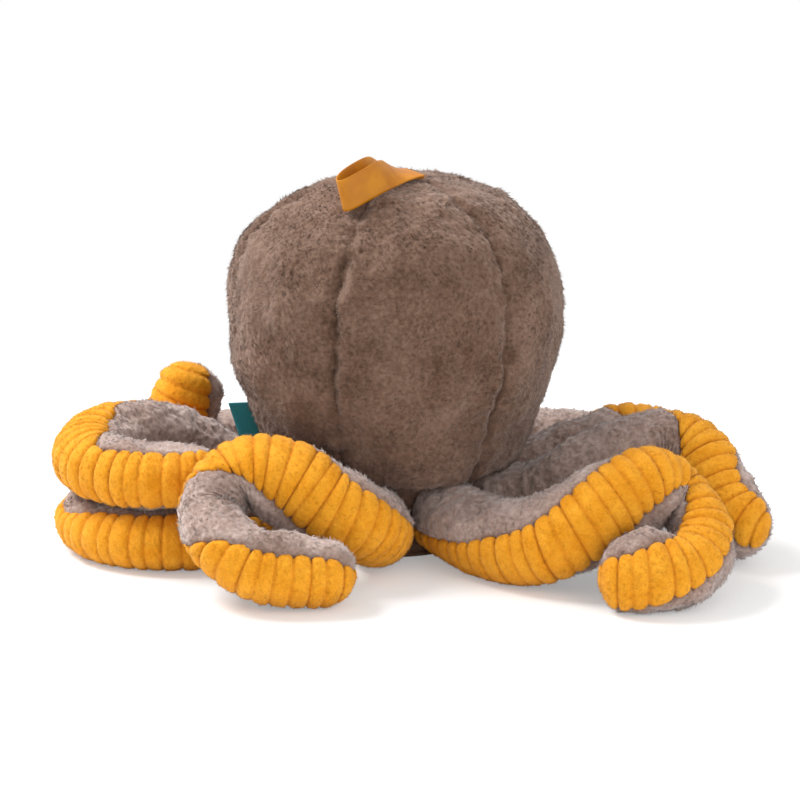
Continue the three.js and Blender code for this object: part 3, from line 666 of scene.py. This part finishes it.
def centripetal(points, per_segment):
    """Points on a centripetal Catmull-Rom curve, with ends carried on straight."""
    p = carried_on(points)
    out = []
    for k in range(1, len(p) - 2):
        d0, d1, d2 = (max(np.linalg.norm(p[k + j + 1] - p[k + j]) ** 0.5, 1e-4) for j in (-1, 0, 1))
        m1 = (p[k] - p[k - 1]) / d0 - (p[k + 1] - p[k - 1]) / (d0 + d1) + (p[k + 1] - p[k]) / d1
        m2 = (p[k + 1] - p[k]) / d1 - (p[k + 2] - p[k]) / (d1 + d2) + (p[k + 2] - p[k + 1]) / d2
        w = np.linspace(0, 1, per_segment, endpoint=False)[:, None]
        c2 = -3 * p[k] + 3 * p[k + 1] - 2 * m1 * d1 - m2 * d1
        c3 = 2 * p[k] - 2 * p[k + 1] + m1 * d1 + m2 * d1
        out.append(p[k] + m1 * d1 * w + c2 * w**2 + c3 * w**3)
    return np.vstack(out + [p[-2][None]])


def uniform_spline(rows, t):
    """Catmull-Rom with even steps and tension one half, at shares t of the way along."""
    p = carried_on(rows)
    x = np.clip(t, 0, 1) * (len(p) - 3)
    k = np.minimum(x.astype(int), len(p) - 4)
    w = (x - k)[:, None]
    a, b, c, d = p[k], p[k + 1], p[k + 2], p[k + 3]
    m1, m2 = (c - a) / 2, (d - b) / 2
    return b + m1 * w + (-3 * b + 3 * c - 2 * m1 - m2) * w**2 + (2 * b - 2 * c + m1 + m2) * w**3


def soften(rows, sigma):
    """Running average along rows, with a spread of sigma rows, that keeps both ends in place."""
    reach = int(3 * sigma)
    kernel = np.exp(-0.5 * (np.arange(-reach, reach + 1) / sigma) ** 2)
    kernel /= kernel.sum()
    head = 2 * rows[0] - rows[reach:0:-1]
    tail = 2 * rows[-1] - rows[-2:-reach - 2:-1]
    longer = np.vstack([head, rows, tail])
    return np.stack([np.convolve(longer[:, k], kernel, "valid") for k in range(rows.shape[1])], axis=-1)


OUTLINE = centripetal(HEAD_OUTLINE, 24)
SLOPE_STEP = 0.004
LEAST_HEAD_RADIUS = 0.2
# Share of the dark seam lines and the painted groove shade that the head's pile carries
GORE_SHADE = 0.8


def outline_radius(share):
    return np.interp(share, OUTLINE[:, 0], OUTLINE[:, 1])


def head_normal(share):
    """Outward and upward parts of the head's normal at a height share."""
    low, high = np.clip(share - SLOPE_STEP, 0, 1), np.clip(share + SLOPE_STEP, 0, 1)
    slope = (outline_radius(high) - outline_radius(low)) * HEAD_RADIUS / ((high - low) * HEAD_RISE)
    return unit(np.stack([np.ones_like(slope), -slope], axis=-1))


def head_surface(turn, share, across, proud=0.0):
    """Points of the head at a turn, a height share and a share across the gore, stood proud."""
    normal = head_normal(share)
    pinch = SEAM_PINCH * outline_radius(share) * np.abs(2 * across - 1) ** 4
    radius = HEAD_RADIUS * outline_radius(share) - pinch + proud * normal[..., 0]
    place = outwards(turn) * np.maximum(radius, LEAST_HEAD_RADIUS)[..., None]
    place[..., 0] += HEAD_LEAN * share
    place[..., 2] = NECK_HEIGHT + HEAD_RISE * share + proud * normal[..., 1]
    return place


def gore_turn(index):
    return (index - 0.5) * 2 * math.pi / GORES


def make_gore(name, index):
    """One gore, with a puckered groove along both of its seams."""
    length = run_lengths(np.diff(OUTLINE, axis=0) * [HEAD_RISE, HEAD_RADIUS])
    share = np.interp(np.linspace(0, length[-1], GORE_ROWS), length, OUTLINE[:, 0])[:, None]
    across = np.linspace(0, 1, GORE_COLUMNS)[None] + np.zeros_like(share)
    share = share + np.zeros_like(across)
    turn = gore_turn(index) + across * 2 * math.pi / GORES
    bare = head_surface(turn, share, across)
    width = outline_radius(share) * HEAD_RADIUS * 2 * math.pi / GORES
    to_seam = np.minimum(across, 1 - across) * width

    tension = spectral(bare, TENSION_PITCH, TENSION_SEED)
    groove = np.exp(-(to_seam / (SEAM_SPREAD + TENSION_SPREAD * tension)) ** 2)
    thread = np.clip(STITCH_SHADE + lumps(bare, STITCH_CHANGE, STITCH_PITCH, STITCH_SEED), STITCH_LEAST, 1)
    stitch = np.exp(-(to_seam / STITCH_WIDTH) ** 2) * thread
    creases = spectral(bare * PUCKER_STRETCH, PUCKER_PITCH, PUCKER_SEED)
    pucker = np.exp(-(to_seam / PUCKER_REACH) ** 2) * creases
    fade = np.clip((1 - share) / CROWN_FADE, 0, 1) ** 0.5
    proud = GORE_STAND + fade * (
        sum(lumps(bare, *values) for values in GORE_LUMPS) + PUCKER_HEIGHT * pucker
        - PUCKER_DEPTH * groove * (1 + TENSION_PULL * tension)
    )
    points = head_surface(turn, share, across, np.maximum(proud, GORE_LEAST))

    # The last rows close the crown and tuck the neck in
    crown = points[-1:].copy()
    middle = np.array([HEAD_LEAN, 0])
    crown[..., :2] = middle + (crown[..., :2] - middle) * CROWN_CLOSE
    neck = points[:1] * [NECK_TUCK, NECK_TUCK, 1] + [0, 0, NECK_LIFT]
    points = np.vstack([neck, points, crown])
    # The stitches are dark seam lines; the grooves beside them get painted shade, and both fade out at the
    # crown
    shade = np.maximum(stitch, GROOVE_SHADE * groove) * fade
    valley = np.vstack([shade[:1], shade, 0 * shade[-1:]])
    piece = grid_piece(name + "_plush", points, TAUPE, valley)
    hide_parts(name)
    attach(piece, "body")

    downwards = (slice(-2, 0, -1), slice(None, None, -1))
    pile = pile_piece(
        name + "_pile", points[downwards], TAUPE, valley[downwards] * GORE_SHADE,
        PILE_DENSITY, GORE_PILE_SEED + index, PILE_SIZE,
    )
    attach(pile, "body")


def arm_turn(index):
    return -(index + 0.5) * 2 * math.pi / ARMS


def root_centre(index):
    place = outwards(arm_turn(index)) * RING_RADIUS
    place[2] = ROOT_HEIGHT
    return place


def across_route(towards, tangent):
    """The part of each direction that is square to the route."""
    return unit(towards - tangent * np.sum(towards * tangent, axis=1, keepdims=True))


def arm_frames(index):
    """Close-set sections along an arm: place, direction of the corduroy, direction across, half sizes."""
    facing, rows = ROUTES[index]
    centre = root_centre(index)
    first = np.array(rows[0][:3]) * ARM_WIDTH
    pole = centre - unit(first - centre) * ROOT_RADIUS
    places = [pole, centre] + [np.array(row[:3]) * ARM_WIDTH for row in rows]
    facings = [facing, facing] + [row[3:6] for row in rows]
    sizes = [[ROOT_RADIUS] * 2] * 2 + [[v * ARM_WIDTH for v in row[6:]] for row in rows]

    t = np.linspace(0, 1, ROUTE_STEPS)
    run = run_lengths(np.diff(uniform_spline(places, t), axis=0))
    even = np.interp(np.linspace(0, run[-1], int(run[-1] / RING_STEP)), run, t)
    place = soften(uniform_spline(places, even), ROUTE_SOFTNESS / RING_STEP)
    tangent = unit(np.gradient(place, axis=0))
    towards = soften(uniform_spline(facings, even), ROUTE_SOFTNESS / RING_STEP)
    towards = soften(across_route(towards, tangent), SECTION_SOFTNESS / RING_STEP)
    towards = across_route(towards, tangent)

    # Root and tip round off
    size = soften(uniform_spline(sizes, even), SECTION_SOFTNESS / RING_STEP)
    run = run_lengths(np.diff(place, axis=0))
    ends = np.minimum(run / ROOT_RADIUS, (run[-1] - run) / (TIP_SHARE * ARM_WIDTH))
    rounding = np.sqrt(1 - (1 - np.clip(ends, 0, 1)) ** 2)
    size = np.maximum(size * rounding[:, None], LEAST_HALF_SIZE)
    return place, towards, np.cross(tangent, towards), size


def section(frames, angle, proud):
    """Points of the arm's sections at angles from the corduroy's middle, stood proud."""
    place, towards, across, size = frames
    proud = proud * np.clip(size[:, :1] / FULL_HALF_SIZE, 0, 1)
    a = size[:, :1] + proud
    b = size[:, 1:] + proud
    points = (place[:, None] + towards[:, None] * (a * np.cos(angle))[..., None]
              + across[:, None] * (b * np.sin(angle))[..., None])
    points[..., 2] = np.maximum(points[..., 2], FLOOR_GAP)
    return points


def rounded(share, sharpness, power):
    """A rounded height: 1 in the middle, where the share is 0, and 0 at the edge, where it is 1."""
    return (1 - share**sharpness) ** power


def blend_root(piece, index):
    """Bakes the piece's transform into its mesh."""
    centre = root_centre(index)
    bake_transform(piece)


def arm_cloth(index, points, made, valley, names, pile):
    """A strip of an arm's cloth and its pile; pile gives the shade, density, seed and tuft size."""
    node, strip_name, pile_name = (f"arm_{index + 1}_{name}" for name in names)
    piece = grid_piece(strip_name, points, made, valley)
    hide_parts(node)
    blend_root(piece, index)
    shade, density, seed, size = pile
    piece = pile_piece(pile_name, points, made, valley * shade, density, seed + index, size)
    blend_root(piece, index)


def make_arm(index):
    """One arm: its corduroy strip of wales, and the plush strip round the rest, puffed and wrinkled."""
    frames = arm_frames(index)
    place = frames[0]
    rings = len(place)
    radius = np.maximum(frames[3].mean(axis=1), LEAST_RADIUS)[:, None]

    # Wales are evenly spaced along the middle of the corduroy strip
    middle = section(frames, np.zeros((rings, 1)), 0)[:, 0]
    run = run_lengths(np.diff(middle, axis=0))
    phase = run / RIB_PITCH + lumps(middle, *RIB_WANDER, index)
    across_wale = np.abs(2 * (phase - np.floor(phase)) - 1)[:, None]
    wale = rounded(across_wale, *RIB_ROUNDNESS)
    uneven = 1 + lumps(middle, *RIB_CHANGE, index)[:, None]

    # The strip runs from its low seam to its high seam, with a scallop where each wale ends
    shifts = np.array(SEAM_SHIFTS.get(index, PLAIN_SEAMS))
    along = np.linspace(0, 1, rings)
    seams = np.stack([np.interp(along, shifts[:, 0], shifts[:, k]) for k in (1, 2)], axis=-1)
    low, high = soften(np.radians(seams), SECTION_SOFTNESS / RING_STEP).T[..., None]
    v = np.linspace(-1, 1, WALE_COLUMNS)[None]
    scallop = RIB_END * ((1 + SCALLOP_IN) * wale - SCALLOP_IN) / radius
    angle = (high - low) / 2 + v * ((high + low) / 2 + scallop)
    edge = rounded(np.abs(v), *EDGE_ROUNDNESS)
    proud = -SEAM_DEPTH + (SEAM_DEPTH + RIB_HEIGHT * uneven * wale) * edge
    strip = section(frames, angle, proud)
    strip += lumps(strip, *RIB_LUMPS, index)[..., None] * unit(strip - place[:, None])
    strip[..., 2] = np.maximum(strip[..., 2], FLOOR_GAP)
    # Painted shade darkens the furrows between wales and the strip's edges where it sinks into the seams
    furrow = (across_wale**FURROW_SHARPNESS) * np.ones_like(v) * FURROW_SHADE
    valley = furrow + EDGE_SHADE * np.abs(v) ** EDGE_SHARPNESS
    arm_cloth(
        index, strip, YELLOW, valley, ("corduroy", "wales", "nap"),
        (NAP_SHADE, NAP_DENSITY, NAP_SEED, NAP_SIZE),
    )

    # The plush runs on round from the high seam to the low one, and lies a little under both
    w = np.linspace(0, 1, ARM_COLUMNS)[None]
    angle = high - STRIP_OVERLAP + w * (2 * math.pi - low - high + 2 * STRIP_OVERLAP)
    to_seam = np.minimum(w, 1 - w) * (2 * math.pi - low - high) * radius
    bare = section(frames, angle, 0)
    groove = np.exp(-(to_seam / SEAM_SPREAD) ** 2)

    # Wrinkles lie across the inside of each bend
    step = np.gradient(place, axis=0)
    bend = np.gradient(unit(step), axis=0) / np.linalg.norm(step, axis=1, keepdims=True)
    tightness = np.linalg.norm(bend, axis=1) * radius[:, 0]
    strength = np.clip(tightness * WRINKLE_GAIN - WRINKLE_FROM, 0, 1)[:, None]
    inside = np.clip(np.einsum("rcv,rv->rc", unit(bare - place[:, None]), unit(bend + 1e-9)), 0, 1)
    wave = np.cos(2 * math.pi * (run[:, None] / WRINKLE_PITCH + lumps(bare, *WRINKLE_WANDER, index)))
    proud = ARM_STAND + WRINKLE_HEIGHT * strength * inside**1.5 * wave
    for values in ARM_LUMPS:
        proud = proud + lumps(bare, *values, index)
    proud = proud - ARM_GROOVE * groove
    for at, degrees, height in PUFFS.get(index, ()):
        off = np.angle(np.exp(1j * (angle - math.radians(degrees)))) / math.radians(PUFF_DEGREES)
        away = (along[:, None] - at) / PUFF_LENGTH
        proud = proud + height * np.exp(-away**2 - off**2)
    # The seam grooves get painted shade, which the pile carries in full
    arm_cloth(
        index, section(frames, angle, proud), TAUPE_PAINTED_LIGHT, groove * ARM_GROOVE_SHADE,
        ("back", "plush", "pile"), (1, PILE_DENSITY, ARM_PILE_SEED, PILE_SIZE),
    )


# The cloth between the arms as radius and height, and the base panel as share of its radius and height
SKIRT = [(52, 1.2), (54.5, 5), (54, 12), (53.5, 24), (55, 36), (60, 44), (66, 49), (64, 52)]
BASE_PANEL = [(0.5, 0.25), (0.9, 0.25), (0.97, 0.3), (0.995, 1.2), (1, 2.2), (0.97, 3.1), (0.9, 3.3)]
BASE_MIDDLE = 0.05


def make_under():
    """The cloth between the arms, and the flat panel under the toy."""
    piece = lathe_piece("neck_plush", centripetal(SKIRT, 10), 120, TAUPE)
    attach(piece, "body")
    panel = [(BASE_RADIUS * share, height) for share, height in BASE_PANEL]
    panel = [(BASE_MIDDLE, panel[0][1]), *panel, (BASE_MIDDLE, panel[-1][1])]
    piece = lathe_piece("base_plush", centripetal(panel, 6), 96, TAUPE)
    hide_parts("base_panel")
    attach(piece, "body")


# Eyes: the rim below the dome as share of the radius and height, and the height at which the dome starts
EYE_RIM = [(0.6, -2.5), (0.9, -1.6), (0.99, -0.6)]
EYE_STAND = 1.1
EYE_RINGS, EYE_SEGMENTS = 14, 48
EYE_TOP_RADIUS = 0.02


def make_eyes():
    """Two domed safety eyes, square to the face."""
    share = (EYE_HEIGHT - NECK_HEIGHT) / HEAD_RISE
    half = math.asin(EYE_DISTANCE / 2 / (HEAD_RADIUS * outline_radius(share)))
    radius = EYE_WIDTH / 2
    dome = np.linspace(0, math.pi / 2, EYE_RINGS)[:-1]
    profile = [(radius * out, height) for out, height in EYE_RIM]
    profile += [(radius * math.cos(a), EYE_STAND + EYE_DOME * math.sin(a)) for a in dome]
    profile += [(EYE_TOP_RADIUS, EYE_STAND + EYE_DOME)]
    for side, turn in (("left", math.pi + half), ("right", math.pi - half)):
        across = (turn - gore_turn(GORES / 2)) / (2 * math.pi / GORES)
        at = [np.array([v]) for v in (turn, share, across)]
        surface = head_surface(*at)[0]
        axis = unit(head_surface(*at, proud=np.array([1.0]))[0] - surface)
        piece = lathe_piece(
            side + "_eye_dome", profile, EYE_SEGMENTS, BLACK, surface, axis,
        )
        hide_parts(side + "_eye")
        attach(piece, "body")


# Ribbon: its path as shares of its length and of its opening, and how it turns from flat to upright
RIBBON_PATH = [
    (0, 0.06), (0.12, 0.16), (0.35, 0.4), (0.6, 0.5), (0.85, 0.46), (0.97, 0.25), (1, 0),
    (0.97, -0.25), (0.85, -0.46), (0.6, -0.5), (0.35, -0.4), (0.12, -0.16), (0, -0.06),
]
RIBBON_STEPS, RIBBON_COLUMNS = 12, 15
RIBBON_SEAT = 1.3
RIBBON_TURNED = 0.75
RIBBON_FLAT_SLOPE = 0.12
RIBBON_UPRIGHT = (-0.22, 0.04, 1)
RIBBON_CLEARANCE = 1.6
RIBBON_LAYER_SHARE = 0.7
RIBBON_SETTLE_SHARE = 0.4
RIBBON_TOP_STAND = 1.6
RIBBON_HALF_SHARE = 0.35
RIBBON_SOFTNESS = 2.5
CROWN_FROM, CROWN_TRIES = 0.53, 30


def crown_height(x, y):
    """Height of the head's top above a point of the plan."""
    low, high = CROWN_FROM, 1.0
    for _ in range(CROWN_TRIES):
        share = (low + high) / 2
        if HEAD_RADIUS * outline_radius(share) > math.hypot(x - HEAD_LEAN * share, y):
            low = share
        else:
            high = share
    return NECK_HEIGHT + HEAD_RISE * low


def crown_heights(points):
    return np.array([crown_height(x, y) for x, y in points[:, :2]])


def make_ribbon():
    """The loop starts flat at the seam and stands on its edge at the fold."""
    seam = outwards(gore_turn(1))
    sewn = seam * RIBBON_WIDTH * RIBBON_SEAT + np.array([HEAD_LEAN, 0, 0])
    run = np.array([seam[1], -seam[0], 0])
    side = np.array([-run[1], run[0], 0])
    path = centripetal([
        run * along * RIBBON_LENGTH + side * across * (RIBBON_OPENING + RIBBON_THICKNESS)
        for along, across in RIBBON_PATH
    ], RIBBON_STEPS)
    tangent = unit(np.gradient(path, axis=0))
    along = np.clip(path @ run / RIBBON_LENGTH / RIBBON_TURNED, 0, 1)[:, None]
    rise = along**2 * (3 - 2 * along)
    flat = unit(np.array([-seam[0], -seam[1], RIBBON_FLAT_SLOPE]))
    upright = unit(np.array(RIBBON_UPRIGHT))
    width = unit(flat * (1 - rise) + upright * rise)
    face = unit(np.cross(tangent, width))

    # Both edges stay clear of the head's plush, and where they lie flat the upper layer lies on the lower
    half = np.sign(0.5 - np.linspace(0, 1, len(path)))
    layer = (1 - rise[:, 0]) * RIBBON_THICKNESS * half * RIBBON_LAYER_SHARE
    bottom = path + sewn
    stand = RIBBON_THICKNESS * (1 - RIBBON_SETTLE_SHARE * rise[:, 0])
    bottom[:, 2] = crown_heights(bottom) + SEAM_GAP + RIBBON_CLEARANCE + stand + layer
    top = bottom + width * RIBBON_WIDTH
    least = crown_heights(top) + RIBBON_CLEARANCE + RIBBON_TOP_STAND * RIBBON_THICKNESS + layer
    top[:, 2] = np.maximum(top[:, 2], least)
    bottom, top = soften(bottom, RIBBON_SOFTNESS), soften(top, RIBBON_SOFTNESS)

    shares = np.linspace(0, 1, RIBBON_COLUMNS)
    shares = np.concatenate([shares, shares[::-1]])[None, :, None]
    sign = np.repeat([1.0, -1.0], RIBBON_COLUMNS)[None, :, None]
    thick = RIBBON_THICKNESS * RIBBON_HALF_SHARE
    points = bottom[:, None] * (1 - shares) + top[:, None] * shares + sign * face[:, None] * thick
    piece = grid_piece("ribbon", points, AMBER, closed=True, caps=True)
    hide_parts("hanging_loop")
    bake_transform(piece)


# Label: four layers of points round its two thicknesses of cloth, as distances from its middle plane
LABEL_LAYERS = [-0.55, 0.55, 0.15, -0.15]
LABEL_ROWS, LABEL_COLUMNS = 20, 14
LABEL_INSIDE = 0.97
LABEL_EDGE, LABEL_SHARPNESS = 1.05, 12
LABEL_WAVE, LABEL_WAVE_TURN = 1.4, 3.0


def make_label():
    """A folded woven label in the left seam, left blank."""
    rows = np.linspace(0, 1, LABEL_ROWS)[:, None]
    share = (LABEL_BOTTOM + rows * LABEL_HEIGHT - NECK_HEIGHT) / HEAD_RISE
    zero = np.zeros_like(share)
    edge = head_surface(gore_turn(GORES - 1) + zero, share, zero)
    outer, inner = np.linspace(0, 1, LABEL_COLUMNS), np.linspace(0, LABEL_INSIDE, LABEL_COLUMNS)
    out = np.concatenate([outer, outer[::-1], inner, inner[::-1]])[None]
    thick = np.repeat(LABEL_LAYERS, LABEL_COLUMNS)[None]
    thick = thick * np.sqrt(np.clip(LABEL_EDGE - out**LABEL_SHARPNESS, 0, 1))
    points = np.repeat(edge, out.shape[1], axis=1)
    points[..., 0] += LABEL_SEAM - out * (LABEL_DEPTH + LABEL_SEAM)
    points[..., 1] += thick + LABEL_WAVE * out**2 * np.sin(rows * LABEL_WAVE_TURN)
    piece = grid_piece("folded_label", points, TEAL, closed=True, caps=True)
    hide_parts("side_label")
    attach(piece, "body")


def dress_hidden():
    """Inner pieces keep their solids and get their own cloth, fibre or plastic."""
    finishes = {"grey_cotton": COTTON, "white_fibre": FIBRE, "clear_plastic": CLEAR}
    slots = {part["node"]: part["material_slot"] for part in frame["record"]["subparts"]}
    for node, piece in frame["nodes"].items():
        made = finishes.get(slots[node])
        if made:
            for material_slot in piece.material_slots:
                material_slot.material = made


# Stage: sizes and places in metres, light in watts
FLOOR_SIZE = 12
FLOOR_FADE = {"From Min": 0.2, "From Max": 0.55, "To Min": 0.3, "To Max": 1}
WORLD_STRENGTH = 0.8
LAMPS = [("key", (-1.05, 0.5, 1.5), 50, 0.9), ("fill", (1.0, -1.5, 0.9), 15, 1.4)]
LAMP_TARGET = (0, 0, 0.08)
CAMERA_TARGET = (0.0056, 0.0003, 0.0813)
CAMERA_DISTANCE = 1.4
CAMERA_LENS, CAMERA_SENSOR = 105, 36
CAMERA_TILT, CAMERA_SWING = math.radians(14), math.radians(10)


def output_mix(tree, factor, first, second, output):
    """Mix two shaders and link them to the tree's output."""
    node = tree.nodes.new("ShaderNodeMixShader")
    for socket, value in zip(node.inputs, (factor, first, second)):
        tree.links.new(value, socket)
    tree.links.new(node.outputs["Shader"], tree.nodes[output].inputs["Surface"])


def make_floor():
    """A pale floor that keeps the shadow and, for the camera alone, fades to white away from the toy."""
    bpy.ops.mesh.primitive_plane_add(size=FLOOR_SIZE)
    floor = bpy.context.object
    floor.name = "floor"
    made, tree, shader = material("pale_floor")
    set_inputs(shader, {"Base Color": grey(0.9), "Roughness": 1, "Specular IOR Level": 0})
    white = tree.nodes.new("ShaderNodeEmission")
    white.inputs["Color"].default_value = grey(1)
    far = tree.nodes.new("ShaderNodeVectorMath")
    far.operation = "LENGTH"
    tree.links.new(tree.nodes.new("ShaderNodeTexCoord").outputs["Object"], far.inputs[0])
    spread = tree.nodes.new("ShaderNodeMapRange")
    spread.interpolation_type = "SMOOTHSTEP"
    set_inputs(spread, FLOOR_FADE)
    tree.links.new(far.outputs["Value"], spread.inputs["Value"])
    seen = tree.nodes.new("ShaderNodeLightPath").outputs["Is Camera Ray"]
    factor = math_node(tree, "MULTIPLY", spread.outputs["Result"], seen)
    output_mix(tree, factor, shader.outputs["BSDF"], white.outputs["Emission"], "Material Output")
    floor.data.materials.append(made)


def make_world(scene):
    """Even light all round, and plain white where the camera, gloss or clear plastic sees past the toy."""
    world = bpy.data.worlds.new("studio")
    scene.world = world
    world.use_nodes = True
    tree = world.node_tree
    back = tree.nodes["Background"]
    set_inputs(back, {"Color": grey(1), "Strength": WORLD_STRENGTH})
    white = tree.nodes.new("ShaderNodeBackground")
    white.inputs["Color"].default_value = grey(1)
    paths = tree.nodes.new("ShaderNodeLightPath")
    either = math_node(tree, "MAXIMUM", paths.outputs["Is Camera Ray"], paths.outputs["Is Glossy Ray"])
    either = math_node(tree, "MAXIMUM", either, paths.outputs["Is Transmission Ray"])
    output_mix(tree, either, back.outputs["Background"], white.outputs["Background"], "World Output")


def make_lamp(scene, name, place, power, size):
    """A square lamp aimed at the toy."""
    light = bpy.data.lights.new(name, "AREA")
    light.energy = power
    light.size = size
    item = bpy.data.objects.new(name, light)
    item.location = place
    item.rotation_euler = (Vector(LAMP_TARGET) - Vector(place)).to_track_quat("-Z", "Y").to_euler()
    scene.collection.objects.link(item)


def make_camera(scene):
    """A long lens behind the toy, a little above it and to its left, as in the photograph."""
    data = bpy.data.cameras.new("camera")
    data.lens = CAMERA_LENS
    data.sensor_width = CAMERA_SENSOR
    data.clip_end = 50
    camera = bpy.data.objects.new("camera", data)
    level = math.cos(CAMERA_TILT)
    away = Vector((-math.sin(CAMERA_SWING) * level, -math.cos(CAMERA_SWING) * level, math.sin(CAMERA_TILT)))
    camera.location = Vector(CAMERA_TARGET) + away * CAMERA_DISTANCE
    camera.rotation_euler = (-away).to_track_quat("-Z", "Y").to_euler()
    scene.collection.objects.link(camera)
    scene.camera = camera


def stage():
    """Plain pale floor, wide soft light and the camera."""
    scene = bpy.context.scene
    scene.view_settings.view_transform = "Standard"
    make_floor()
    make_world(scene)
    for lamp in LAMPS:
        make_lamp(scene, *lamp)
    make_camera(scene)


stage()
for number, gore in enumerate(GORE_NAMES):
    make_gore(gore, number)
for number in range(ARMS):
    make_arm(number)
make_under()
make_eyes()
make_ribbon()
make_label()
dress_hidden()
